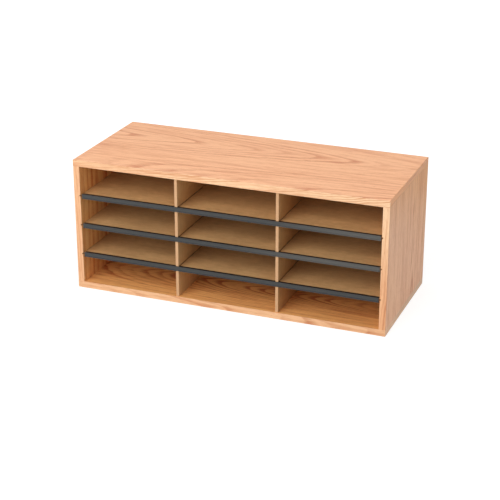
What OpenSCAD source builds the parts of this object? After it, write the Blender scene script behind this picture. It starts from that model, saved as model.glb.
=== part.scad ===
// Desktop literature organizer with three columns and four rows of letter-size compartments.
// An oak-laminate case holds two upright dividers. Hardboard shelves interlock with the dividers,
// slide in grooves of the side panels and carry a label strip clipped on the front edge.
// X runs along the width, the open front faces -Y, and Z is up from the base.

/* [Case] */
// Overall width
case_width = 737; // [600:1:900]
// Overall depth with the front bands
case_depth = 308; // [260:1:380]
// Overall height
case_height = 310; // [260:1:420]
// Thickness of the top, bottom and side panels
panel_thickness = 15; // [12:0.5:19]

/* [Edge bands] */
// Thickness of the bands on the front edges and panel ends
band_thickness = 1; // [0.6:0.1:2]
// Radius of the outer edges of each band
band_radius = 0.5; // [0.2:0.1:0.5]

/* [Back panel] */
// Thickness of the back
back_thickness = 3.2; // [2.5:0.1:6]
// Distance of the back's outer face inside the rear edges of the case
back_recess = 1; // [0.8:0.1:3]
// Lap of the rabbet in each panel behind the back
back_lap = 8; // [6:0.5:10]
// Clearance around the back in its rabbet
back_clearance = 0.4; // [0.2:0.1:0.8]

/* [Dividers] */
// Thickness of each divider
divider_thickness = 6.5; // [5:0.5:9]
// Depth of the grooves in the top and bottom panels
divider_groove_depth = 4; // [3:0.5:6]
// Uncut length of those panels in front of the grooves
divider_groove_stop = 12; // [8:1:20]
// Clearance between a divider and the walls of its groove
divider_clearance = 0.2; // [0.1:0.1:0.4]
// Room over a shelf's label strip in the divider slots
slot_headroom = 1.4; // [0.3:0.1:3]

/* [Shelves] */
// Thickness of each shelf
shelf_thickness = 3.2; // [2.5:0.1:5]
// Depth of the grooves in the side panels
shelf_groove_depth = 2.5; // [2:0.5:5]
// Clearance at the shelf ends, over them and beside the dividers
shelf_clearance = 0.4; // [0.2:0.1:0.8]
// Gap between a shelf that is pushed in and the back
shelf_back_gap = 0.5; // [0.2:0.1:0.9]

/* [Label strips] */
// Distance of the lips behind the front of the case
strip_setback = 0.5; // [0:0.1:5]
// Height of the face above the shelf
strip_rise = 2.2; // [1.8:0.1:5]
// Height of the face below the shelf
strip_drop = 5.2; // [2.5:0.1:10]
// Thickness of the face
face_thickness = 1; // [0.8:0.1:2]
// Thickness of the lips that hold a paper label
lip_thickness = 0.7; // [0.5:0.1:1]
// Height of each lip
lip_height = 1.7; // [1.2:0.1:2.5]
// Room for a paper label behind the lips
label_gap = 0.7; // [0.4:0.1:1.5]
// Thickness of the flanges that grip the shelf
flange_thickness = 1; // [0.8:0.1:1.4]
// Depth of the flange on top of the shelf
upper_flange_depth = 8.5; // [4:0.5:15]
// Depth of the flange under the shelf
lower_flange_depth = 10; // [4:0.5:20]
// Clearance between the strip and a divider
strip_clearance = 0.3; // [0.2:0.1:0.6]
// Gap between each strip end and the side panel
strip_end_gap = 3; // [1:0.5:8]

/* [Dowels] */
// Diameter of each dowel
dowel_diameter = 8; // [6:0.5:8]
// Length of each dowel
dowel_length = 30; // [20:1:40]
// Depth of a dowel in the top or bottom panel
dowel_seat = 10; // [6:0.5:10.5]
// Chamfer at the dowel ends
dowel_chamfer = 1; // [0.5:0.1:1.5]
// Number of dowels in each corner joint
dowel_count = 3; // [2:1:5]
// Distance of the outer dowels from the front and rear edges
dowel_inset = 40; // [25:1:60]
// Clearance around a dowel and at its ends
dowel_clearance = 0.15; // [0.1:0.05:0.3]

/* [Nails] */
// Diameter of the nail shank
nail_diameter = 1.6; // [1.2:0.1:2]
// Length of each nail below its head
nail_length = 16; // [12:1:25]
// Diameter of the nail head
nail_head_diameter = 4; // [3:0.1:5]
// Thickness of the nail head
nail_head_thickness = 0.7; // [0.5:0.1:0.8]
// Clearance around a nail and at its point
nail_clearance = 0.1; // [0.05:0.05:0.3]
// Number of nails above and below each column
nails_per_column = 2; // [1:1:4]

/* [Hidden] */
$fn = 48;

// The three shelf levels, counted from the base
levels = [1, 2, 3];
row_count = len(levels) + 1;
column_count = 3;
sides = [-1, 1];

// Cuts run past the surface that they open
overcut = 1;

oak_color = "#e6b083";
band_color = "#f2c795";
hardboard_color = "#a67c52";
divider_color = "#c39a6b";
strip_color = "#4c4a49";
dowel_color = "#d8bd92";
nail_color = "#9a9a9c";

inner_width = case_width - 2 * panel_thickness;
inner_height = case_height - 2 * panel_thickness;
front_y = -case_depth / 2;
rear_y = case_depth / 2;
core_front_y = front_y + band_thickness;
back_outer_y = rear_y - back_recess;
back_inner_y = back_outer_y - back_thickness;

column_width = (inner_width - (column_count - 1) * divider_thickness) / column_count;
divider_x = (column_width + divider_thickness) / 2;
row_height = (inner_height - len(levels) * shelf_thickness) / row_count;
row_pitch = row_height + shelf_thickness;

strip_depth = lip_thickness + label_gap + face_thickness;
strip_length = inner_width - 2 * strip_end_gap;
shelf_front_y = front_y + strip_setback + strip_depth;
shelf_rear_y = back_inner_y - shelf_back_gap;
shelf_end_x = inner_width / 2 + shelf_groove_depth - shelf_clearance;
divider_front_y = shelf_front_y + strip_clearance;
// The slots of shelves and dividers meet halfway along the shelf
interlock_y = (shelf_front_y + shelf_rear_y) / 2;

dowel_x = (case_width - panel_thickness) / 2;
dowel_pitch = (case_depth - 2 * dowel_inset) / (dowel_count - 1);
nail_lap = back_lap / 2;
nail_pitch = column_width / nails_per_column;

// Underside of the shelf at a level
function shelf_z(level) = panel_thickness + level * row_pitch - shelf_thickness;

// Middle height of a row of compartments
function row_z(row) = panel_thickness + row * row_pitch + row_height / 2;

// Middle of a column of compartments
function column_x(column) = (column - (column_count - 1) / 2) * (column_width + divider_thickness);

// Box between two opposite corners
module block(low, high) {
    translate(low) cube(high - low);
}

// Repeats a bottom feature at the top of the case
module bottom_and_top() {
    children();
    translate([0, 0, case_height]) mirror([0, 0, 1]) children();
}

// Places a feature drawn on the right on the given side
module on_side(side) {
    mirror([side < 0 ? 1 : 0, 0, 0]) children();
}

// Dowels of the two bottom joints, standing on the panel's seat
module at_bottom_dowels() {
    for (side = sides)
        for (i = [0 : dowel_count - 1])
            translate([side * dowel_x, front_y + dowel_inset + i * dowel_pitch, panel_thickness - dowel_seat])
                children();
}

module dowel() {
    cylinder(d1 = dowel_diameter - 2 * dowel_chamfer, d2 = dowel_diameter, h = dowel_chamfer);
    translate([0, 0, dowel_chamfer])
        cylinder(d = dowel_diameter, h = dowel_length - 2 * dowel_chamfer);
    translate([0, 0, dowel_length - dowel_chamfer])
        cylinder(d1 = dowel_diameter, d2 = dowel_diameter - 2 * dowel_chamfer, h = dowel_chamfer);
}

module dowel_bores() {
    bottom_and_top() at_bottom_dowels()
        translate([0, 0, -dowel_clearance])
            cylinder(d = dowel_diameter + 2 * dowel_clearance, h = dowel_length + 2 * dowel_clearance);
}

// Nail places on the back's outer face: along the bottom and the top, then up both sides
module at_nails() {
    bottom_and_top()
        for (column = [0 : column_count - 1])
            for (i = [0 : nails_per_column - 1])
                translate([
                    column_x(column) + (i - (nails_per_column - 1) / 2) * nail_pitch,
                    back_outer_y,
                    panel_thickness - nail_lap
                ]) children();
    for (side = sides)
        for (row = [0 : row_count - 1])
            translate([side * (inner_width / 2 + nail_lap), back_outer_y, row_z(row)]) children();
}

// The head lies on the back and the shank points to the front
module nail() {
    rotate([-90, 0, 0]) cylinder(d = nail_head_diameter, h = nail_head_thickness);
    rotate([90, 0, 0]) cylinder(d = nail_diameter, h = nail_length);
}

module nail_bores() {
    at_nails()
        translate([0, overcut, 0])
            rotate([90, 0, 0])
                cylinder(d = nail_diameter + 2 * nail_clearance, h = nail_length + nail_clearance + overcut);
}

// Rabbet around the rear opening that takes the back
module back_rabbet() {
    block(
        [-inner_width / 2 - back_lap, back_inner_y, panel_thickness - back_lap],
        [inner_width / 2 + back_lap, rear_y + overcut, case_height - panel_thickness + back_lap]
    );
}

// Stopped groove under each divider, open to the rabbet at the rear
module divider_grooves() {
    half = divider_thickness / 2 + divider_clearance;
    for (side = sides)
        translate([side * divider_x, 0, 0])
            block(
                [-half, front_y + divider_groove_stop, panel_thickness - divider_groove_depth],
                [half, back_inner_y + overcut, panel_thickness + overcut]
            );
}

// Grooves in the right side panel, open at the front so that the shelves pull out
module shelf_grooves() {
    for (level = levels)
        block(
            [inner_width / 2 - overcut, front_y - overcut, shelf_z(level)],
            [
                inner_width / 2 + shelf_groove_depth,
                back_inner_y + overcut,
                shelf_z(level) + shelf_thickness + shelf_clearance
            ]
        );
}

module bottom_board() {
    core_half = case_width / 2 - band_thickness;
    difference() {
        block([-core_half, core_front_y, 0], [core_half, rear_y, panel_thickness]);
        divider_grooves();
        back_rabbet();
        dowel_bores();
        nail_bores();
    }
}

module bottom_panel() {
    color(oak_color) bottom_board();
}

module top_panel() {
    color(oak_color) translate([0, 0, case_height]) mirror([0, 0, 1]) bottom_board();
}

module side_board() {
    difference() {
        block(
            [inner_width / 2, core_front_y, panel_thickness],
            [case_width / 2, rear_y, case_height - panel_thickness]
        );
        shelf_grooves();
        back_rabbet();
        dowel_bores();
        nail_bores();
    }
}

module left_side_panel() {
    color(oak_color) on_side(-1) side_board();
}

module right_side_panel() {
    color(oak_color) on_side(1) side_board();
}

module back_panel() {
    lap = back_lap - back_clearance;
    color(hardboard_color) difference() {
        block(
            [-inner_width / 2 - lap, back_inner_y, panel_thickness - lap],
            [inner_width / 2 + lap, back_outer_y, case_height - panel_thickness + lap]
        );
        nail_bores();
    }
}

// Band section, one panel wide along X, with its outer edges rounded towards -Y
module band_section() {
    fillet = min(band_radius, band_thickness);
    translate([0, fillet]) square([panel_thickness, band_thickness - fillet]);
    translate([fillet, 0]) square([panel_thickness - 2 * fillet, band_thickness]);
    for (x = [fillet, panel_thickness - fillet])
        translate([x, fillet]) intersection() {
            circle(r = fillet);
            translate([-fillet, -fillet]) square([2 * fillet, fillet]);
        }
}

module bottom_band() {
    color(band_color)
        translate([-case_width / 2, front_y, panel_thickness])
            rotate([0, 90, 0]) linear_extrude(case_width) band_section();
}

module bottom_front_band() {
    bottom_band();
}

module top_front_band() {
    translate([0, 0, case_height - panel_thickness]) bottom_band();
}

// The side band is cut where the shelves pull out
module side_band() {
    color(band_color) difference() {
        translate([inner_width / 2, front_y, panel_thickness]) linear_extrude(inner_height) band_section();
        shelf_grooves();
    }
}

module left_front_band() {
    on_side(-1) side_band();
}

module right_front_band() {
    on_side(1) side_band();
}

// Band on the right end of the bottom panel, behind the front band
module end_band() {
    color(oak_color)
        translate([case_width / 2, core_front_y, panel_thickness])
            rotate([0, 90, 90]) linear_extrude(rear_y - core_front_y) band_section();
}

module bottom_left_end_band() {
    on_side(-1) end_band();
}

module bottom_right_end_band() {
    on_side(1) end_band();
}

module top_left_end_band() {
    translate([0, 0, case_height - panel_thickness]) on_side(-1) end_band();
}

module top_right_end_band() {
    translate([0, 0, case_height - panel_thickness]) on_side(1) end_band();
}

// Upright board with tongues in the panel grooves and a slot at the front for each shelf
module divider_board() {
    half = divider_thickness / 2;
    tongue = divider_groove_depth - divider_clearance;
    slot_top = shelf_thickness + flange_thickness + slot_headroom;
    relief_depth = flange_thickness + strip_clearance;
    relief_rear_y = shelf_front_y + lower_flange_depth + strip_clearance;
    difference() {
        union() {
            block(
                [-half, divider_front_y, panel_thickness],
                [half, back_inner_y, case_height - panel_thickness]
            );
            block(
                [-half, front_y + divider_groove_stop + divider_clearance, panel_thickness - tongue],
                [half, back_inner_y, case_height - panel_thickness + tongue]
            );
        }
        for (level = levels) {
            // Slot for the shelf and the upper flange of its strip
            block(
                [-half - overcut, divider_front_y - overcut, shelf_z(level)],
                [half + overcut, interlock_y, shelf_z(level) + slot_top]
            );
            // Relief for the lower flange
            block(
                [-half - overcut, divider_front_y - overcut, shelf_z(level) - relief_depth],
                [half + overcut, relief_rear_y, shelf_z(level) + overcut]
            );
        }
    }
}

module left_divider() {
    color(divider_color) translate([-divider_x, 0, 0]) divider_board();
}

module right_divider() {
    color(divider_color) translate([divider_x, 0, 0]) divider_board();
}

// Full-width board with a slot from the rear for each divider
module shelf(level) {
    slot_half = divider_thickness / 2 + shelf_clearance;
    color(hardboard_color) translate([0, 0, shelf_z(level)]) difference() {
        block([-shelf_end_x, shelf_front_y, 0], [shelf_end_x, shelf_rear_y, shelf_thickness]);
        for (side = sides)
            translate([side * divider_x, 0, 0])
                block(
                    [-slot_half, interlock_y - shelf_clearance, -overcut],
                    [slot_half, shelf_rear_y + overcut, shelf_thickness + overcut]
                );
    }
}

module lower_shelf() {
    shelf(levels[0]);
}

module middle_shelf() {
    shelf(levels[1]);
}

module upper_shelf() {
    shelf(levels[2]);
}

// Lip at the lower edge of the strip: a web from the face and an upturned, rounded rim
module strip_lip() {
    translate([lip_thickness / 2, 0]) square([strip_depth - lip_thickness / 2, lip_thickness]);
    translate([0, lip_thickness / 2]) square([lip_thickness, lip_height - lip_thickness]);
    for (y = [lip_thickness / 2, lip_height - lip_thickness / 2])
        translate([lip_thickness / 2, y]) circle(d = lip_thickness);
}

// Strip section: X to the rear from the lips, Y up from the underside of the shelf
module strip_section() {
    face_x = lip_thickness + label_gap;
    face_top = shelf_thickness + strip_rise;
    translate([face_x, -strip_drop]) square([face_thickness, strip_drop + face_top]);
    translate([0, -strip_drop]) strip_lip();
    translate([0, face_top]) mirror([0, 1]) strip_lip();
    translate([face_x, shelf_thickness])
        square([face_thickness + upper_flange_depth, flange_thickness]);
    translate([face_x, -flange_thickness])
        square([face_thickness + lower_flange_depth, flange_thickness]);
}

module label_strip(level) {
    color(strip_color)
        translate([-strip_length / 2, front_y + strip_setback, shelf_z(level)])
            rotate([90, 0, 90]) linear_extrude(strip_length) strip_section();
}

module lower_label_strip() {
    label_strip(levels[0]);
}

module middle_label_strip() {
    label_strip(levels[1]);
}

module upper_label_strip() {
    label_strip(levels[2]);
}

module dowels() {
    color(dowel_color) bottom_and_top() at_bottom_dowels() dowel();
}

module back_nails() {
    color(nail_color) at_nails() nail();
}

top_panel();
bottom_panel();
left_side_panel();
right_side_panel();
back_panel();
top_front_band();
bottom_front_band();
left_front_band();
right_front_band();
top_left_end_band();
top_right_end_band();
bottom_left_end_band();
bottom_right_end_band();
left_divider();
right_divider();
dowels();
back_nails();
upper_shelf();
middle_shelf();
lower_shelf();
upper_label_strip();
middle_label_strip();
lower_label_strip();
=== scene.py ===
import math

import bpy
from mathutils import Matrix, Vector


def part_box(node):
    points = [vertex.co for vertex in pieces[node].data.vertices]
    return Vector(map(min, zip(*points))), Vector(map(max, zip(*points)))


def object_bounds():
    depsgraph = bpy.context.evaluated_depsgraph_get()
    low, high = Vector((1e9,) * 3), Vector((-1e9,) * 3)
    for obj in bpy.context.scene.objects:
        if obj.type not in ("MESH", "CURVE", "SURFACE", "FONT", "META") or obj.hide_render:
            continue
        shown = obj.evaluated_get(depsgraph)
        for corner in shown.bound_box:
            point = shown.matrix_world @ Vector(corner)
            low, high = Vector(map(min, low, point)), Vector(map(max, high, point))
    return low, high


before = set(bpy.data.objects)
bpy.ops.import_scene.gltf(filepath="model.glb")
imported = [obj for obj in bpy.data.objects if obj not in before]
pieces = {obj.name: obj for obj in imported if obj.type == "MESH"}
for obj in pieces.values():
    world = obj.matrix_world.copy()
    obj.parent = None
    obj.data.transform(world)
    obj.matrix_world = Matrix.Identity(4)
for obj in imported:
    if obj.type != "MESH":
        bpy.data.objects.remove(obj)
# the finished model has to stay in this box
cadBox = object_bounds()  # box round the imported pieces, which places the floor and the case's middle
caseMiddle = (cadBox[0] + cadBox[1]) / 2


# Camera at the photograph's viewing angle, for a square picture
photoView = {
    "azimuth": 21.35,  # degrees round to the right of straight on
    "elevation": 22.38,  # degrees above the horizon
    "distance": 3.237,  # metres from the aim point
    "lens": 102.0,  # millimetres on the sensor below
    "sensor": 36.0,
    "aimRight": -0.0025,  # aim point beside and below the middle of the case, metres
    "aimUp": -0.0624,
}


def makeCamera(view):
    turn, tilt = math.radians(view["azimuth"]), math.radians(view["elevation"])
    back = Vector((math.sin(turn) * math.cos(tilt), -math.cos(turn) * math.cos(tilt), math.sin(tilt)))
    right = Vector((math.cos(turn), math.sin(turn), 0))
    aim = caseMiddle + right * view["aimRight"] + back.cross(right) * view["aimUp"]
    data = bpy.data.cameras.new("photoCamera")
    data.lens, data.sensor_width = view["lens"], view["sensor"]
    camera = bpy.data.objects.new("photoCamera", data)
    camera.location = aim + back * view["distance"]
    camera.rotation_euler = (math.pi / 2 - tilt, 0, turn)
    bpy.context.scene.collection.objects.link(camera)
    bpy.context.scene.camera = camera


makeCamera(photoView)
bpy.context.scene.view_settings.view_transform = "Standard"
print("camera: set")


# Short forms for building node trees
def feed(tree, source, socket):
    if isinstance(source, bpy.types.NodeSocket):
        tree.links.new(source, socket)
    else:
        socket.default_value = source


def add(tree, kind, sockets=None, **settings):
    node = tree.nodes.new("ShaderNode" + kind)
    for key, value in settings.items():
        setattr(node, key, value)
    for label, source in (sockets or {}).items():
        feed(tree, source, node.inputs[label])
    return node


def calc(tree, operation, *values):
    node = add(tree, "Math", operation=operation)
    for socket, value in zip(node.inputs, values):
        feed(tree, value, socket)
    return node.outputs[0]


def vec(tree, operation, first, second):
    node = add(tree, "VectorMath", operation=operation)
    feed(tree, first, node.inputs[0])
    feed(tree, second, node.inputs[1])
    return node.outputs["Value" if operation == "DOT_PRODUCT" else "Vector"]


# Noise with its own count of lumps a metre along each axis
def lumps(tree, vector, perMetre, detail=2.0, roughness=0.5):
    scaled = vec(tree, "MULTIPLY", vector, perMetre)
    noise = {"Vector": scaled, "Scale": 1.0, "Detail": detail, "Roughness": roughness}
    return add(tree, "TexNoise", noise).outputs[0]


# The same noise, centred on zero and scaled
def waver(tree, vector, perMetre, amount, detail=2.0):
    centred = calc(tree, "SUBTRACT", lumps(tree, vector, perMetre, detail), 0.5)
    return calc(tree, "MULTIPLY", centred, amount)


def fade(tree, value, low, high, toLow=0.0, toHigh=1.0):
    spread = {"Value": value, "From Min": low, "From Max": high, "To Min": toLow, "To Max": toHigh}
    return add(tree, "MapRange", spread, interpolation_type="SMOOTHSTEP").outputs[0]


def blend(tree, factor, first, second, mode="MIX"):
    node = add(tree, "Mix", data_type="RGBA", blend_type=mode)
    feed(tree, factor, node.inputs[0])
    feed(tree, first, node.inputs[6])
    feed(tree, second, node.inputs[7])
    return node.outputs[2]


def mixValue(tree, factor, first, second):
    node = add(tree, "Mix", data_type="FLOAT")
    feed(tree, factor, node.inputs[0])
    feed(tree, first, node.inputs[2])
    feed(tree, second, node.inputs[3])
    return node.outputs[0]


def normalAlong(tree, axis):
    normal = add(tree, "NewGeometry").outputs["Normal"]
    return add(tree, "SeparateXYZ", {"Vector": normal}).outputs[axis]


def newGroup(name, inputs, outputs):
    tree = bpy.data.node_groups.new(name, "ShaderNodeTree")
    for label, kind, value in inputs:
        socket = tree.interface.new_socket(label, in_out="INPUT", socket_type="NodeSocket" + kind)
        if value is not None:
            socket.default_value = value
    for label, kind in outputs:
        tree.interface.new_socket(label, in_out="OUTPUT", socket_type="NodeSocket" + kind)
    return tree, tree.nodes.new("NodeGroupInput").outputs, tree.nodes.new("NodeGroupOutput").inputs


def useGroup(tree, group, sockets):
    node = tree.nodes.new("ShaderNodeGroup")
    node.node_tree = group
    for label, source in sockets.items():
        feed(tree, source, node.inputs[label])
    return node.outputs


# Colours are written as on screen, 0 to 255, and turned to linear light
def tint(red, green, blue):
    return tuple(
        part / 12.92 if part <= 0.04045 else ((part + 0.055) / 1.055) ** 2.4
        for part in (red / 255, green / 255, blue / 255)
    ) + (1.0,)


# Effects that several materials share, and a seed that moves their patterns
seedSteps = (3.71, 1.93, 2.57)  # metres along each axis for one unit of the seed


def shiftBySeed(tree, vector, seed):
    steps = [calc(tree, "MULTIPLY", seed, step) for step in seedSteps]
    shift = add(tree, "CombineXYZ", dict(zip("XYZ", steps))).outputs[0]
    return vec(tree, "ADD", vector, shift)


# Flat-sawn oak: a plane cut through the tapering growth rings of two stems that lie side by side
oakGrain = {
    "ringMean": 0.19,  # mean darkness of the rings, so that strong ones don't darken a wide stretch
    "ringShade": 0.133,  # what they darken the whole board by, for a contrast of 1
    "ringPower": 1.6,  # makes strong rings rarer
    "weakestRing": 0.15,
    "darkAt": 0.15,  # where a ring is darkest, and where it is light again, as shares of its width
    "lightAt": 0.80,
    "straightShare": 0.35,  # of the contrast, where the grain runs straight
    "layers": (  # lumps a metre along, across and through the board, and their amount
        ((2.2, 48.0, 48.0), 0.7),
        ((5.0, 110.0, 110.0), 1.3),
        ((12.0, 170.0, 170.0), 1.0),
        ((45.0, 260.0, 260.0), 0.8),
    ),
    "poreAmount": 0.75,
    "rayAmount": 0.35,
}


def makeOakFigure(grain):
    tree, get, give = newGroup("oakFigure", [
        ("Vector", "Vector", None),  # along, across and through the board, metres
        ("Seed", "Float", 0.0),
        ("Pith Across", "Float", 0.0),
        ("Second Pith", "Float", -0.2),
        ("Pith Depth", "Float", 0.10),
        ("Second Depth", "Float", 0.16),
        ("Taper", "Float", 0.12),
        ("Taper Reach", "Float", 0.09),  # metres to the side of a pith over which the taper shows
        ("Ring Width", "Float", 0.008),
        ("Ring Shift", "Float", 0.0),  # which rings of the stem show, because some are stronger
        ("Waviness", "Float", 0.03),
        ("Contrast", "Float", 0.8),
        ("Streaks", "Float", 0.9),
        ("Light Wood", "Color", tint(250, 192, 148)),
        ("Dark Wood", "Color", tint(214, 140, 100)),
        ("Pore", "Color", tint(170, 104, 70)),
    ], [("Color", "Color"), ("Height", "Float")])
    spot = shiftBySeed(tree, get["Vector"], get["Seed"])
    along, side, _ = add(tree, "SeparateXYZ", {"Vector": get["Vector"]}).outputs

    # Distance from each pith, with slow drift of the cut and a small waver in each ring
    drift = calc(tree, "MULTIPLY", waver(tree, spot, (3.0, 9.0, 9.0), 1.0, 1.0), get["Waviness"])
    sway = calc(tree, "MULTIPLY", waver(tree, spot, (5.5, 16.0, 16.0), 0.8, 2.0), get["Waviness"])
    narrowing = calc(tree, "MULTIPLY", along, get["Taper"])
    falloff = calc(tree, "POWER", get["Taper Reach"], -2.0)
    stems = (
        (get["Pith Across"], get["Pith Depth"], 1.0),
        (get["Second Pith"], get["Second Depth"], -1.0),  # tapers the other way
    )
    radii, flatCuts = [], []
    for pith, pithDepth, lean in stems:
        across = calc(tree, "ADD", calc(tree, "SUBTRACT", side, pith), drift)
        square = calc(tree, "MULTIPLY", across, across)
        radius = calc(tree, "SQRT", calc(tree, "MULTIPLY_ADD", pithDepth, pithDepth, square))
        deeper = calc(tree, "SUBTRACT", pithDepth, get["Pith Depth"])
        flatCut = calc(tree, "DIVIDE", 1.0, calc(tree, "MULTIPLY_ADD", square, falloff, 1.0))
        flatCuts.append(flatCut)
        climb = calc(tree, "MULTIPLY", calc(tree, "MULTIPLY", narrowing, lean), flatCut)
        radii.append(calc(tree, "ADD", calc(tree, "SUBTRACT", radius, deeper), climb))
    rings = calc(tree, "DIVIDE", calc(tree, "ADD", calc(tree, "MINIMUM", *radii), sway), get["Ring Width"])
    rings = calc(tree, "ADD", rings, get["Ring Shift"])
    rings = calc(tree, "ADD", rings, waver(tree, spot, (14.0, 90.0, 90.0), 0.5))
    part = calc(tree, "FRACT", rings)
    count = calc(tree, "FLOOR", rings)
    strength = add(tree, "TexWhiteNoise", {"W": count}, noise_dimensions="1D").outputs["Value"]
    strength = calc(tree, "POWER", strength, grain["ringPower"])
    weakest = grain["weakestRing"]
    strength = calc(tree, "MULTIPLY_ADD", strength, 1.0 - weakest, weakest)

    # Each ring starts dark and porous and fades to smooth late wood, less so where the grain runs straight
    flatness = calc(tree, "POWER", calc(tree, "MAXIMUM", *flatCuts), 2.0)
    straight = grain["straightShare"]
    flatness = calc(tree, "MULTIPLY_ADD", flatness, 1.0 - straight, straight)
    contrast = calc(tree, "MULTIPLY", get["Contrast"], flatness)
    darkening = fade(tree, part, 0.0, grain["darkAt"])
    lightening = fade(tree, part, grain["darkAt"], grain["lightAt"], 1.0, 0.0)
    early = calc(tree, "MULTIPLY", calc(tree, "MULTIPLY", darkening, lightening), strength)
    fibre = lumps(tree, spot, (16.0, 900.0, 900.0), 3.0, 0.6)
    pores = fade(tree, lumps(tree, spot, (70.0, 2600.0, 2600.0), 1.0), 0.56, 0.70)
    pores = calc(tree, "MULTIPLY", pores, calc(tree, "MULTIPLY_ADD", early, 0.85, 0.15))
    rays = fade(tree, lumps(tree, spot, (110.0, 1400.0, 1400.0), 0.0), 0.72, 0.80)

    # Rings, long streaks and short dashes make the tone
    tone = calc(tree, "MULTIPLY", calc(tree, "SUBTRACT", early, grain["ringMean"]), contrast)
    tone = calc(tree, "MULTIPLY_ADD", get["Contrast"], grain["ringShade"], tone)
    for perMetre, amount in grain["layers"]:
        tone = calc(tree, "MULTIPLY_ADD", waver(tree, spot, perMetre, amount), get["Streaks"], tone)
    tone = calc(tree, "ADD", tone, calc(tree, "MULTIPLY_ADD", fibre, 0.5, -0.15))
    tone = add(tree, "Clamp", {"Value": tone}).outputs[0]
    color = blend(tree, tone, get["Light Wood"], get["Dark Wood"])
    color = blend(tree, calc(tree, "MULTIPLY", pores, grain["poreAmount"]), color, get["Pore"])
    color = blend(tree, calc(tree, "MULTIPLY", rays, grain["rayAmount"]), color, get["Pore"])
    feed(tree, color, give["Color"])
    feed(tree, calc(tree, "MULTIPLY_ADD", fibre, 0.25, calc(tree, "MULTIPLY", pores, -1.0)), give["Height"])
    return tree


# Particleboard: pressed chips of mixed tone with dark glue between them
chipBoard = {
    "chipsPerMetre": (260.0, 420.0, 640.0),
    "glueWidth": 0.12,  # as a share of a chip
}


def makeChipCore(board):
    tree, get, give = newGroup("chipCore", [
        ("Vector", "Vector", None),
        ("Light Chip", "Color", tint(214, 178, 132)),
        ("Dark Chip", "Color", tint(150, 108, 68)),
    ], [("Color", "Color"), ("Height", "Float")])
    scaled = vec(tree, "MULTIPLY", get["Vector"], board["chipsPerMetre"])
    cells = {"Vector": scaled, "Scale": 1.0, "Randomness": 1.0}
    chips = add(tree, "TexVoronoi", cells)
    edges = add(tree, "TexVoronoi", cells, feature="DISTANCE_TO_EDGE")
    chip = add(tree, "SeparateColor", {"Color": chips.outputs["Color"]}).outputs[0]
    glue = fade(tree, edges.outputs["Distance"], 0.0, board["glueWidth"])
    dust = lumps(tree, get["Vector"], (1500.0, 1500.0, 1500.0), 2.0)
    tone = calc(tree, "MULTIPLY_ADD", dust, 0.4, calc(tree, "MULTIPLY", chip, 0.7))
    color = blend(tree, tone, get["Dark Chip"], get["Light Chip"])
    feed(tree, blend(tree, glue, get["Dark Chip"], color), give["Color"])
    feed(tree, calc(tree, "MULTIPLY", glue, chip), give["Height"])
    return tree


# Hardboard: fine pressed fibres, soft mottling and a few dark specks
fibreSpecks = {"color": tint(92, 60, 36), "amount": 0.35}


def makePressedFibre(speck):
    tree, get, give = newGroup("pressedFibre", [
        ("Vector", "Vector", None),  # along, across and through the board, metres
        ("Seed", "Float", 0.0),
        ("Light Fibre", "Color", tint(196, 148, 98)),
        ("Dark Fibre", "Color", tint(160, 114, 72)),
        ("Streaks", "Float", 0.5),
        ("Mottle", "Float", 1.0),
    ], [("Color", "Color"), ("Height", "Float")])
    spot = shiftBySeed(tree, get["Vector"], get["Seed"])
    mottle = lumps(tree, spot, (14.0, 30.0, 30.0), 4.0, 0.6)
    streak = lumps(tree, spot, (5.0, 210.0, 210.0), 3.0, 0.55)
    flecks = waver(tree, spot, (70.0, 110.0, 110.0), 0.8)
    fibre = lumps(tree, spot, (650.0, 900.0, 900.0), 3.0, 0.7)
    specks = fade(tree, lumps(tree, spot, (420.0, 520.0, 520.0), 1.0), 0.70, 0.78)
    tone = calc(tree, "MULTIPLY_ADD", calc(tree, "SUBTRACT", mottle, 0.5), get["Mottle"], 0.5)
    tone = calc(tree, "MULTIPLY_ADD", calc(tree, "SUBTRACT", streak, 0.5), get["Streaks"], tone)
    tone = calc(tree, "MULTIPLY_ADD", flecks, get["Mottle"], tone)
    tone = calc(tree, "ADD", tone, calc(tree, "MULTIPLY_ADD", fibre, 0.5, -0.25))
    tone = add(tree, "Clamp", {"Value": tone}).outputs[0]
    color = blend(tree, tone, get["Light Fibre"], get["Dark Fibre"])
    specks = calc(tree, "MULTIPLY", specks, speck["amount"])
    feed(tree, blend(tree, specks, color, speck["color"]), give["Color"])
    feed(tree, fibre, give["Height"])
    return tree


# Broken, rubbed edges: a mask along the edges and the normal of an edge with a small radius; the mask
# lightens the edges, partly as wear and partly as a painted highlight
edgeWear = {
    "rimFrom": 0.995,  # cosines of the rounded normal's turn where the mask starts and is full
    "rimTo": 0.80,
    "patchesPerMetre": (60.0, 60.0, 60.0),
    "leastWear": 0.4,
}


def makeEdgeBreak(wear):
    tree, get, give = newGroup("edgeBreak", [
        ("Vector", "Vector", None),
        ("Radius", "Float", 0.0008),
    ], [("Mask", "Float"), ("Normal", "Vector")])
    rounded = add(tree, "Bevel", {"Radius": get["Radius"]}, samples=6).outputs[0]
    flat = add(tree, "NewGeometry").outputs["Normal"]
    rim = fade(tree, vec(tree, "DOT_PRODUCT", rounded, flat), wear["rimFrom"], wear["rimTo"])
    patchy = fade(tree, lumps(tree, get["Vector"], wear["patchesPerMetre"], 3.0), 0.35, 0.65)
    patchy = calc(tree, "MULTIPLY_ADD", patchy, 1.0 - wear["leastWear"], wear["leastWear"])
    feed(tree, calc(tree, "MULTIPLY", rim, patchy), give["Mask"])
    feed(tree, rounded, give["Normal"])
    return tree


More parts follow.
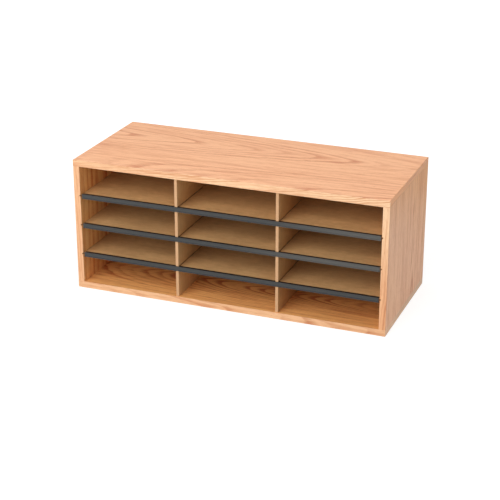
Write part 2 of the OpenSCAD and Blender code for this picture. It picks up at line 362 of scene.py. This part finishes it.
# Uneven sheen from wiping and handling
def makeHandling():
    tree, get, give = newGroup("handling", [
        ("Vector", "Vector", None),
        ("Roughness", "Float", 0.45),
        ("Spread", "Float", 0.12),
    ], [("Roughness", "Float")])
    uneven = calc(tree, "ADD", waver(tree, get["Vector"], (7.0, 9.0, 9.0), 1.0, 3.0),
                  waver(tree, get["Vector"], (130.0, 130.0, 130.0), 0.4))
    feed(tree, calc(tree, "MULTIPLY_ADD", uneven, get["Spread"], get["Roughness"]), give["Roughness"])
    return tree


oakFigure = makeOakFigure(oakGrain)
chipCore = makeChipCore(chipBoard)
pressedFibre = makePressedFibre(fibreSpecks)
edgeBreak = makeEdgeBreak(edgeWear)
handling = makeHandling()
print("effects:", len(bpy.data.node_groups), "node groups")


plainGloss = 0.25  # specular level of all the surfaces
faceLimit = 0.5  # a face is turned to an axis when its normal goes this far along it


# A material's tree, its shader and the place on the piece, with the grain's axes in the order given
def startMaterial(name, axes="XYZ"):
    material = bpy.data.materials.new(name)
    material.use_nodes = True
    tree = material.node_tree
    tree.nodes.clear()
    shader = add(tree, "BsdfPrincipled")
    shader.inputs["Specular IOR Level"].default_value = plainGloss
    feed(tree, shader.outputs[0], add(tree, "OutputMaterial").inputs[0])
    place = add(tree, "TexCoord").outputs["Object"]
    parts = add(tree, "SeparateXYZ", {"Vector": place}).outputs
    order = {label: parts[axis] for label, axis in zip("XYZ", axes)}
    return material, tree, shader.inputs, add(tree, "CombineXYZ", order).outputs[0]


def finishSurface(tree, shader, place, color, height, relief, roughness, edgeWearAndHighlight, radius):
    edge = useGroup(tree, edgeBreak, {"Vector": place, "Radius": radius})
    # The edges are lightened by the mask: partly rubbed wear, partly a painted highlight
    edgeLightening = calc(tree, "MULTIPLY", edge["Mask"], edgeWearAndHighlight["amount"])
    feed(tree, blend(tree, edgeLightening, color, edgeWearAndHighlight["color"]), shader["Base Color"])
    sheen = useGroup(tree, handling, {"Vector": place, "Roughness": roughness})
    feed(tree, sheen["Roughness"], shader["Roughness"])
    bump = {"Strength": 1.0, "Distance": relief, "Height": height, "Normal": edge["Normal"]}
    feed(tree, add(tree, "Bump", bump).outputs[0], shader["Normal"])


def dress(name, material):
    piece = pieces[name]
    piece.data.materials.clear()
    piece.data.materials.append(material)


# How far a point lies from the middle plane of its board, along one axis, as a share of half the thickness
def boardShare(tree, name, axis):
    low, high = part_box(name)
    index = "XYZ".index(axis)
    middle, half = (low[index] + high[index]) / 2, (high[index] - low[index]) / 2
    place = add(tree, "TexCoord").outputs["Object"]
    level = add(tree, "SeparateXYZ", {"Vector": place}).outputs[axis]
    return calc(tree, "DIVIDE", calc(tree, "ABSOLUTE", calc(tree, "SUBTRACT", level, middle)), half)


# Laminate panels: grain runs along the first axis, and the third goes through the board
panelOak = {
    # light wood, dark wood and pores of each face
    "outer": (tint(252, 191, 146), tint(214, 138, 97), tint(172, 102, 66)),
    # "inner" and "wall" are darker, more saturated copies of the oak: painted shade and warm bounce light
    # inside the case
    "inner": (tint(250, 185, 113), tint(202, 118, 65), tint(140, 76, 43)),
    "shadedWall": (tint(255, 198, 128), tint(222, 135, 77), tint(156, 90, 52)),
    # "side" is a paler, less saturated copy of "outer" for the side faces: painted sheen
    "side": (tint(246, 193, 152), tint(209, 139, 101), tint(168, 103, 70)),
    "under": (tint(232, 197, 150), tint(200, 157, 112), tint(156, 114, 76)),
    "warmShadeTint": (0.86, 0.71, 0.44, 1.0),
    "warmFrom": 0.15,  # heights over which a panel's upper part turns warmer and darker as painted warm shade, metres
    "warmTo": 0.34,
    "warmLean": 0.4,  # more so towards the rear
    "edgeWearAndHighlight": {"color": tint(252, 214, 178), "amount": 0.5},
    "roughness": 0.5,
    "relief": 0.00006,
    "edgeRadius": 0.0006,
    "sheetFrom": 0.98,  # share of half the board's thickness beyond which the laminate lies
}
plainSheet = {
    "pith": 0.055, "second": -0.25, "depth": 0.035, "secondDepth": 0.056, "taper": 0.06, "reach": 0.09,
    "ring": 0.006, "shift": 0, "waviness": 0.012, "contrast": 0.75, "streaks": 0.9,
}
panelSheets = {
    "top_panel": {
        "axes": "XYZ", "inside": -1,
        "outer": {
            "seed": 1.0, "tone": "outer", "pith": 0.062, "second": -0.165, "depth": 0.012,
            "secondDepth": 0.06, "taper": 0.20, "ring": 0.015, "shift": 463.5, "waviness": 0.015,
            "contrast": 0.85,
        },
        "inner": {"seed": 1.6, "tone": "under"},
    },
    "bottom_panel": {
        "axes": "XYZ", "inside": 1,
        "outer": {"seed": 2.9, "tone": "under"},
        "inner": {
            "seed": 3.4, "tone": "inner", "pith": -0.047, "second": 0.2, "depth": 0.02,
            "secondDepth": 0.05, "taper": -0.20, "reach": 0.065, "ring": 0.0075, "shift": 522,
            "contrast": 1.35,
        },
    },
    "left_side_panel": {
        "axes": "ZYX", "inside": 1,
        "outer": {"seed": 3.8, "tone": "side", "pith": -0.03, "streaks": 1.2},
        "inner": {
            "seed": 3.1, "tone": "shadedWall", "pith": 0.02, "second": 0.2, "depth": 0.03,
            "secondDepth": 0.048, "ring": 0.02, "contrast": 1.6,
        },
    },
    "right_side_panel": {
        "axes": "ZYX", "inside": -1,
        "outer": {"seed": 4.7, "tone": "side", "streaks": 1.2, "paintedWarmShade": 1.0},
        "inner": {"seed": 4.2, "tone": "inner", "pith": -0.06, "ring": 0.02, "contrast": 2.0},
    },
}


def oakColor(tree, place, figure, light, dark, pore):
    return useGroup(tree, oakFigure, {
        "Vector": place, "Seed": figure["seed"],
        "Pith Across": figure["pith"], "Second Pith": figure["second"],
        "Pith Depth": figure["depth"], "Second Depth": figure["secondDepth"],
        "Taper": figure["taper"], "Taper Reach": figure["reach"],
        "Ring Width": figure["ring"], "Ring Shift": figure["shift"],
        "Waviness": figure["waviness"], "Contrast": figure["contrast"], "Streaks": figure["streaks"],
        "Light Wood": light, "Dark Wood": dark, "Pore": pore,
    })


# Painted warm shade: the upper part of a sheet is turned warmer and darker, more so towards the rear
def paintWarmShade(tree, place, color, amount, finish):
    along, across, _ = add(tree, "SeparateXYZ", {"Vector": place}).outputs
    level = calc(tree, "MULTIPLY_ADD", across, finish["warmLean"], along)
    level = calc(tree, "ADD", level, waver(tree, place, (4.0, 25.0, 25.0), 0.08))
    warmShade = fade(tree, level, finish["warmFrom"], finish["warmTo"], 0.0, amount)
    return blend(tree, warmShade, color, finish["warmShadeTint"], "MULTIPLY")


def makePanel(name, panel, finish):
    material, tree, shader, place = startMaterial("oak_" + name, panel["axes"])
    through = panel["axes"][2]
    colors, heights = [], []
    for face in ("outer", "inner"):
        sheet = plainSheet | panel[face]
        oak = oakColor(tree, place, sheet, *finish[sheet["tone"]])
        color = oak["Color"]
        if "paintedWarmShade" in sheet:
            color = paintWarmShade(tree, place, color, sheet["paintedWarmShade"], finish)
        colors.append(color)
        heights.append(oak["Height"])

    # The sheets cover the two faces, and cut edges and grooves show the chips
    facing = normalAlong(tree, through)
    inside = calc(tree, "GREATER_THAN", calc(tree, "MULTIPLY", facing, panel["inside"]), faceLimit)
    flat = calc(tree, "GREATER_THAN", calc(tree, "ABSOLUTE", facing), faceLimit)
    outermost = calc(tree, "GREATER_THAN", boardShare(tree, name, through), finish["sheetFrom"])
    covered = calc(tree, "MULTIPLY", flat, outermost)
    core = useGroup(tree, chipCore, {"Vector": place})
    color = blend(tree, covered, core["Color"], blend(tree, inside, *colors))
    height = mixValue(tree, covered, core["Height"], mixValue(tree, inside, *heights))
    finishSurface(tree, shader, place, color, height, finish["relief"], finish["roughness"],
                  finish["edgeWearAndHighlight"], finish["edgeRadius"])
    dress(name, material)


for name, panel in panelSheets.items():
    makePanel(name, panel, panelOak)
print("panels: oak laminate on chip core")


# Edge bands: grain along their length
bandOak = {
    # light and dark wood of each tone; apart from "plain", they are lighter and darker copies of one oak
    # that paint light and shade on the bands
    "plain": (tint(251, 196, 149), tint(218, 146, 102)),
    "pale": (tint(251, 209, 166), tint(214, 148, 104)),
    "soft": (tint(244, 193, 147), tint(208, 138, 95)),
    "deep": (tint(244, 186, 139), tint(211, 137, 93)),
    "dusky": (tint(239, 185, 140), tint(207, 136, 94)),
    "warm": (tint(238, 167, 100), tint(204, 122, 67)),
    "golden": (tint(225, 155, 90), tint(194, 114, 60)),
    "ashen": (tint(245, 201, 158), tint(213, 150, 109)),
    "dim": (tint(232, 192, 154), tint(201, 143, 106)),
    "pore": tint(186, 118, 78),
    "edgeWearAndHighlight": {"color": tint(255, 220, 182), "amount": 0.5},
    "roughness": 0.42,
    "relief": 0.00004,
    "edgeRadius": 0.0005,
}
bandFigure = {
    "second": 0.9, "depth": 0.02, "secondDepth": 0.032, "taper": 0.05, "reach": 0.09,
    "ring": 0.006, "shift": 0, "waviness": 0.02, "contrast": 0.9, "streaks": 0.9,
    "tones": ("plain", "plain"),  # painted light and shade: tones at the start and the end of the span, metres along the band
    "span": (0.0, 1.0),
}
bandPlaces = {
    "top_front_band": {"axes": "XZY", "seed": 5.2, "pith": 0.36, "taper": 0.15, "ring": 0.003,
                       "contrast": 2.2, "tones": ("soft", "pale"), "span": (-0.46, -0.18)},
    "bottom_front_band": {"axes": "XZY", "seed": 6.4, "pith": 0.003, "taper": 0.09, "contrast": 0.75,
                          "tones": ("soft", "soft")},
    "left_front_band": {"axes": "ZXY", "seed": 7.7, "pith": -0.40, "waviness": 0.012,
                        "tones": ("dusky", "soft"), "span": (0.0, 0.5)},
    "right_front_band": {"axes": "ZXY", "seed": 8.9, "pith": 0.395, "waviness": 0.012, "contrast": 0.7,
                         "tones": ("deep", "pale"), "span": (0.0, 0.32)},
    "top_left_end_band": {"axes": "YZX", "seed": 9.1, "pith": 0.36},
    "top_right_end_band": {"axes": "YZX", "seed": 10.3, "pith": 0.36,
                           "tones": ("warm", "golden"), "span": (-0.15, 0.12)},
    "bottom_left_end_band": {"axes": "YZX", "seed": 11.6, "pith": -0.04},
    "bottom_right_end_band": {"axes": "YZX", "seed": 12.8, "pith": -0.04,
                              "tones": ("ashen", "dim"), "span": (-0.15, 0.15)},
}


def makeBand(name, figure, finish):
    material, tree, shader, place = startMaterial("oak_" + name, figure["axes"])
    along = add(tree, "SeparateXYZ", {"Vector": place}).outputs["X"]
    # Painted light and shade: each band fades from one tone to another along its length
    start, end = (finish[tone] for tone in figure["tones"])
    lightAndShade = fade(tree, along, *figure["span"])
    light, dark = (blend(tree, lightAndShade, first, second) for first, second in zip(start, end))
    oak = oakColor(tree, place, figure, light, dark, finish["pore"])
    finishSurface(tree, shader, place, oak["Color"], oak["Height"], finish["relief"], finish["roughness"],
                  finish["edgeWearAndHighlight"], finish["edgeRadius"])
    dress(name, material)


for name, bandPlace in bandPlaces.items():
    makeBand(name, bandFigure | bandPlace, bandOak)
print("edge bands: oak")


# Shelves: hardboard, smooth on top and screen-marked below, with browner cut edges
shelfBoard = {
    "light": tint(223, 179, 124),
    "dark": tint(188, 144, 97),
    "underLight": tint(208, 182, 152),  # the underside is duller, with the marks of the press screen
    "underDark": tint(184, 158, 130),
    "meshPitch": 0.0018,
    "meshDepth": 4.0,  # against the fibres
    "edge": tint(126, 84, 50),
    "footShade": tint(112, 78, 50),  # painted shade along the foot of each divider, where it stands on the board
    "footShadeAmount": 0.7,
    "footShadeEdge": (-0.0005, 0.0003),  # over which the painted shade ends, metres from the divider's face
    "edgeWearAndHighlight": {"color": tint(212, 168, 120), "amount": 0.4},
    "roughness": 0.5,
    "relief": 0.00002,
    "edgeRadius": 0.0003,
}
shelfSeeds = {"upper_shelf": 1.7, "middle_shelf": 2.9, "lower_shelf": 4.1}
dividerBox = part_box("right_divider")
dividerPlace = (dividerBox[0].x + dividerBox[1].x) / 2
dividerHalf = (dividerBox[1].x - dividerBox[0].x) / 2


# Fine dimples that the press screen leaves on one face of a board
def screenMarks(tree, place, pitch):
    parts = add(tree, "SeparateXYZ", {"Vector": place}).outputs
    waves = [calc(tree, "SINE", calc(tree, "MULTIPLY", parts[axis], 2 * math.pi / pitch)) for axis in "XY"]
    return calc(tree, "MULTIPLY", *waves)


def makeShelf(name, seed, finish):
    material, tree, shader, place = startMaterial("hardboard_" + name)
    facing = normalAlong(tree, "Z")
    under = calc(tree, "LESS_THAN", facing, -faceLimit)
    board = useGroup(tree, pressedFibre, {
        "Vector": place, "Seed": seed,
        "Light Fibre": blend(tree, under, finish["light"], finish["underLight"]),
        "Dark Fibre": blend(tree, under, finish["dark"], finish["underDark"]),
    })
    screen = calc(tree, "MULTIPLY", under, screenMarks(tree, place, finish["meshPitch"]))
    height = calc(tree, "MULTIPLY_ADD", screen, finish["meshDepth"], board["Height"])
    cut = calc(tree, "LESS_THAN", calc(tree, "ABSOLUTE", facing), faceLimit)
    fromDivider = calc(tree, "ABSOLUTE", add(tree, "SeparateXYZ", {"Vector": place}).outputs["X"])
    fromDivider = calc(tree, "ABSOLUTE", calc(tree, "SUBTRACT", fromDivider, dividerPlace))
    shadeFrom, shadeTo = (dividerHalf + step for step in finish["footShadeEdge"])
    # Painted shade along each divider's foot
    footShade = fade(tree, fromDivider, shadeFrom, shadeTo, finish["footShadeAmount"], 0.0)
    color = blend(tree, footShade, board["Color"], finish["footShade"])
    color = blend(tree, cut, color, finish["edge"])
    finishSurface(tree, shader, place, color, height, finish["relief"], finish["roughness"],
                  finish["edgeWearAndHighlight"], finish["edgeRadius"])
    dress(name, material)


for name, seed in shelfSeeds.items():
    makeShelf(name, seed, shelfBoard)
print("shelves: hardboard")


# Back: hardboard with its smooth face inside and the screen-marked face outside
backBoard = {
    "seed": 5.5,
    "light": tint(192, 156, 116),
    "dark": tint(168, 132, 94),
    "smoothRelief": 0.3,  # of the inside, as a share of the relief below
    "roughSeed": 6.8,
    "roughLight": tint(178, 138, 98),
    "roughDark": tint(140, 102, 68),
    "roughStreaks": 0.1,
    "roughMottle": 0.5,
    "edgeWearAndHighlight": {"color": tint(190, 150, 110), "amount": 0.3},
    "roughness": 0.6,
    "relief": 0.00008,
    "edgeRadius": 0.0003,
    "meshPitch": 0.0018,
    "meshDepth": 0.5,  # against the fibres
}


def makeBack(finish):
    material, tree, shader, place = startMaterial("hardboard_back", "XZY")
    inside = useGroup(tree, pressedFibre, {
        "Vector": place, "Seed": finish["seed"],
        "Light Fibre": finish["light"], "Dark Fibre": finish["dark"],
    })
    outside = useGroup(tree, pressedFibre, {
        "Vector": place, "Seed": finish["roughSeed"],
        "Light Fibre": finish["roughLight"], "Dark Fibre": finish["roughDark"],
        "Streaks": finish["roughStreaks"], "Mottle": finish["roughMottle"],
    })
    rear = calc(tree, "GREATER_THAN", normalAlong(tree, "Y"), -faceLimit)
    screen = screenMarks(tree, place, finish["meshPitch"])
    screen = calc(tree, "MULTIPLY_ADD", screen, finish["meshDepth"], outside["Height"])
    smooth = calc(tree, "MULTIPLY", inside["Height"], finish["smoothRelief"])
    height = mixValue(tree, rear, smooth, screen)
    color = blend(tree, rear, inside["Color"], outside["Color"])
    finishSurface(tree, shader, place, color, height, finish["relief"], finish["roughness"],
                  finish["edgeWearAndHighlight"], finish["edgeRadius"])
    dress("back_panel", material)


makeBack(backBoard)
print("back: hardboard")


# Dividers: golden fibreboard with a light band on the front edge
dividerBoard = {
    "streaks": 0.8,
    "band": tint(216, 174, 132),
    "bandDark": tint(200, 154, 112),
    "edgeWearAndHighlight": {"color": tint(236, 196, 152), "amount": 0.4},
    "roughness": 0.5,
    "relief": 0.00003,
    "edgeRadius": 0.0004,
}
# The two dividers are one board: the left one's lighter tone is painted light, the right one's darker tone
# painted shade
dividerTones = {
    "left_divider": {
        "seed": 7.2, "bandSeed": 10.2, "light": tint(230, 186, 131), "dark": tint(206, 162, 110),
    },
    "right_divider": {
        "seed": 8.5, "bandSeed": 11.5, "light": tint(217, 172, 117), "dark": tint(193, 148, 97),
    },
}


def makeDivider(name, tone, finish):
    material, tree, shader, place = startMaterial("fibreboard_" + name, "ZYX")
    board = useGroup(tree, pressedFibre, {
        "Vector": place, "Seed": tone["seed"], "Light Fibre": tone["light"], "Dark Fibre": tone["dark"],
        "Streaks": finish["streaks"],
    })
    band = useGroup(tree, pressedFibre, {
        "Vector": place, "Seed": tone["bandSeed"],
        "Light Fibre": finish["band"], "Dark Fibre": finish["bandDark"],
    })
    front = calc(tree, "LESS_THAN", normalAlong(tree, "Y"), -faceLimit)
    color = blend(tree, front, board["Color"], band["Color"])
    finishSurface(tree, shader, place, color, board["Height"], finish["relief"], finish["roughness"],
                  finish["edgeWearAndHighlight"], finish["edgeRadius"])
    dress(name, material)


for name, tone in dividerTones.items():
    makeDivider(name, tone, dividerBoard)
print("dividers: fibreboard")


# Label strips: satin charcoal plastic with faint lines from the extruding die
stripPlastic = {
    "color": tint(71, 72, 72),
    "shade": tint(60, 61, 61),
    "sheenEnd": tint(88, 87, 84),  # painted sheen, lighter towards one end
    "flange": tint(40, 34, 30),  # painted shadow on the flange behind the face
    "dieLines": (1.5, 2600.0, 2600.0),  # a metre along, through and up the strip
    "clouds": (12.0, 60.0, 60.0),
    "edgeWearAndHighlight": {"color": tint(118, 119, 121), "amount": 0.4},
    "roughness": 0.4,
    "relief": 0.00002,
    "edgeRadius": 0.00025,
}
stripPlaces = {
    "upper_label_strip": {"seed": 1.4, "sheenSpan": (0.06, 0.32)},  # metres to the right of the middle
    "middle_label_strip": {"seed": 3.6, "sheenSpan": (-0.02, 0.22)},
    "lower_label_strip": {"seed": 5.9},
}
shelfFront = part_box("upper_shelf")[0].y


def makeStrip(name, strip, finish):
    material, tree, shader, place = startMaterial("plastic_" + name)
    spot = vec(tree, "ADD", place, (strip["seed"],) * 3)
    along, depth, _ = add(tree, "SeparateXYZ", {"Vector": place}).outputs
    dieLines = lumps(tree, spot, finish["dieLines"])
    cloud = lumps(tree, spot, finish["clouds"], 3.0)
    tone = calc(tree, "MULTIPLY_ADD", dieLines, 0.5, calc(tree, "MULTIPLY", cloud, 0.5))
    color = blend(tree, tone, finish["color"], finish["shade"])
    # Painted sheen: lighter towards the right end of some strips
    if "sheenSpan" in strip:
        color = blend(tree, fade(tree, along, *strip["sheenSpan"]), color, finish["sheenEnd"])
    # The flange behind the face is painted dark, as shadow
    shadowedFlange = calc(tree, "GREATER_THAN", depth, shelfFront)
    color = blend(tree, shadowedFlange, color, finish["flange"])
    finishSurface(tree, shader, place, color, dieLines, finish["relief"], finish["roughness"],
                  finish["edgeWearAndHighlight"], finish["edgeRadius"])
    dress(name, material)


for name, strip in stripPlaces.items():
    makeStrip(name, strip, stripPlastic)
print("label strips: plastic")


# Dowels: plain hardwood with fine grain along their length
dowelWood = {
    "light": tint(226, 198, 156),
    "dark": tint(198, 164, 120),
    "fibres": (40.0, 1300.0, 1300.0),  # a metre along and across
    "edgeWearAndHighlight": {"color": tint(232, 208, 172), "amount": 0.3},
    "roughness": 0.6,
    "relief": 0.00003,
    "edgeRadius": 0.0003,
}


def makeDowels(finish):
    material, tree, shader, place = startMaterial("dowel_wood", "ZYX")
    fibre = lumps(tree, place, finish["fibres"], 3.0)
    color = blend(tree, fibre, finish["light"], finish["dark"])
    finishSurface(tree, shader, place, color, fibre, finish["relief"], finish["roughness"],
                  finish["edgeWearAndHighlight"], finish["edgeRadius"])
    dress("dowels", material)


makeDowels(dowelWood)
print("dowels: hardwood")


# Nails: bright steel with a little tarnish
nailSteel = {
    "color": tint(178, 178, 180),
    "tarnish": tint(128, 122, 116),
    "spots": (420.0, 420.0, 420.0),  # a metre
    "edgeWearAndHighlight": {"color": tint(200, 200, 202), "amount": 0.4},
    "roughness": 0.34,
    "relief": 0.00001,
    "edgeRadius": 0.0002,
}


def makeNails(finish):
    material, tree, shader, place = startMaterial("nail_steel")
    spots = fade(tree, lumps(tree, place, finish["spots"], 4.0), 0.45, 0.70)
    color = blend(tree, spots, finish["color"], finish["tarnish"])
    finishSurface(tree, shader, place, color, spots, finish["relief"], finish["roughness"],
                  finish["edgeWearAndHighlight"], finish["edgeRadius"])
    shader["Metallic"].default_value = 1.0
    dress("back_nails", material)


makeNails(nailSteel)
print("nails: steel")


# Studio: pale floor, even fill and large soft lamps
studio = {
    "fill": 0.35,
    "floorSize": 40.0,
    "floorDrop": 0.0003,  # keeps the floor just clear of the base
    "floorColor": tint(205, 205, 205),
    "floorShown": 0.40,  # share of the floor's white that takes the shadow
    "floorGlow": 0.76,  # the rest of its white near the case
    "whiteFrom": 0.6,  # distances from the middle over which the floor goes to plain white
    "whiteTo": 1.8,
}
softLamps = {
    "overhead": {"place": (0.2, 0.2, 2.4), "size": (2.6, 1.8), "power": 14.5},
    "front": {"place": (-0.7, -2.3, 1.5), "size": (2.6, 2.2), "power": 62.0},
    "right": {"place": (2.6, -0.5, 1.2), "size": (1.5, 1.5), "power": 6.3},
    "rear": {"place": (1.1, 2.4, 0.55), "size": (1.8, 0.9), "power": 14.0},
}


white = (1.0, 1.0, 1.0, 1.0)


# One shader for what the camera, gloss and glass see, and another for the light that falls on the rest
def seenOrLit(tree, lit, seen):
    path = add(tree, "LightPath").outputs
    direct = calc(tree, "MAXIMUM", path["Is Camera Ray"], path["Is Glossy Ray"])
    direct = calc(tree, "MAXIMUM", direct, path["Is Transmission Ray"])
    mix = add(tree, "MixShader", {0: direct, 1: lit, 2: seen})
    return mix.outputs[0]


def makeWorld(values):
    world = bpy.data.worlds.new("studioFill")
    world.use_nodes = True
    tree = world.node_tree
    tree.nodes.clear()
    lit = add(tree, "Background", {"Color": white, "Strength": values["fill"]}).outputs[0]
    seen = add(tree, "Background", {"Color": white, "Strength": 1.0}).outputs[0]
    feed(tree, seenOrLit(tree, lit, seen), add(tree, "OutputWorld").inputs[0])
    bpy.context.scene.world = world


def makeFloor(values):
    half = values["floorSize"] / 2
    height = cadBox[0].z - values["floorDrop"]
    mesh = bpy.data.meshes.new("floor")
    corners = [(x * half, y * half, height) for x, y in ((-1, -1), (1, -1), (1, 1), (-1, 1))]
    mesh.from_pydata(corners, [], [(0, 1, 2, 3)])
    floor = bpy.data.objects.new("floor", mesh)
    bpy.context.scene.collection.objects.link(floor)
    material = bpy.data.materials.new("paleFloor")
    material.use_nodes = True
    tree = material.node_tree
    tree.nodes.clear()
    lit = add(tree, "BsdfDiffuse", {"Color": values["floorColor"]}).outputs[0]
    share = values["floorShown"]
    shaded = add(tree, "BsdfDiffuse", {"Color": (share, share, share, 1)}).outputs[0]
    place = add(tree, "TexCoord").outputs["Object"]
    distance = add(tree, "VectorMath", {0: place}, operation="LENGTH").outputs["Value"]
    strength = fade(tree, distance, values["whiteFrom"], values["whiteTo"], values["floorGlow"], 1.0)
    glow = add(tree, "Emission", {"Color": white, "Strength": strength}).outputs[0]
    seen = add(tree, "AddShader", {0: shaded, 1: glow}).outputs[0]
    feed(tree, seenOrLit(tree, lit, seen), add(tree, "OutputMaterial").inputs[0])
    mesh.materials.append(material)


def makeLamp(name, values):
    data = bpy.data.lights.new(name, "AREA")
    data.shape = "RECTANGLE"
    data.size, data.size_y = values["size"]
    data.energy = values["power"]
    lamp = bpy.data.objects.new(name, data)
    lamp.location = values["place"]
    lamp.rotation_euler = (lamp.location - caseMiddle).to_track_quat("Z", "Y").to_euler()
    bpy.context.scene.collection.objects.link(lamp)


makeWorld(studio)
makeFloor(studio)
for name, values in softLamps.items():
    makeLamp(name, values)
print("studio: floor, fill and", len(softLamps), "lamps")
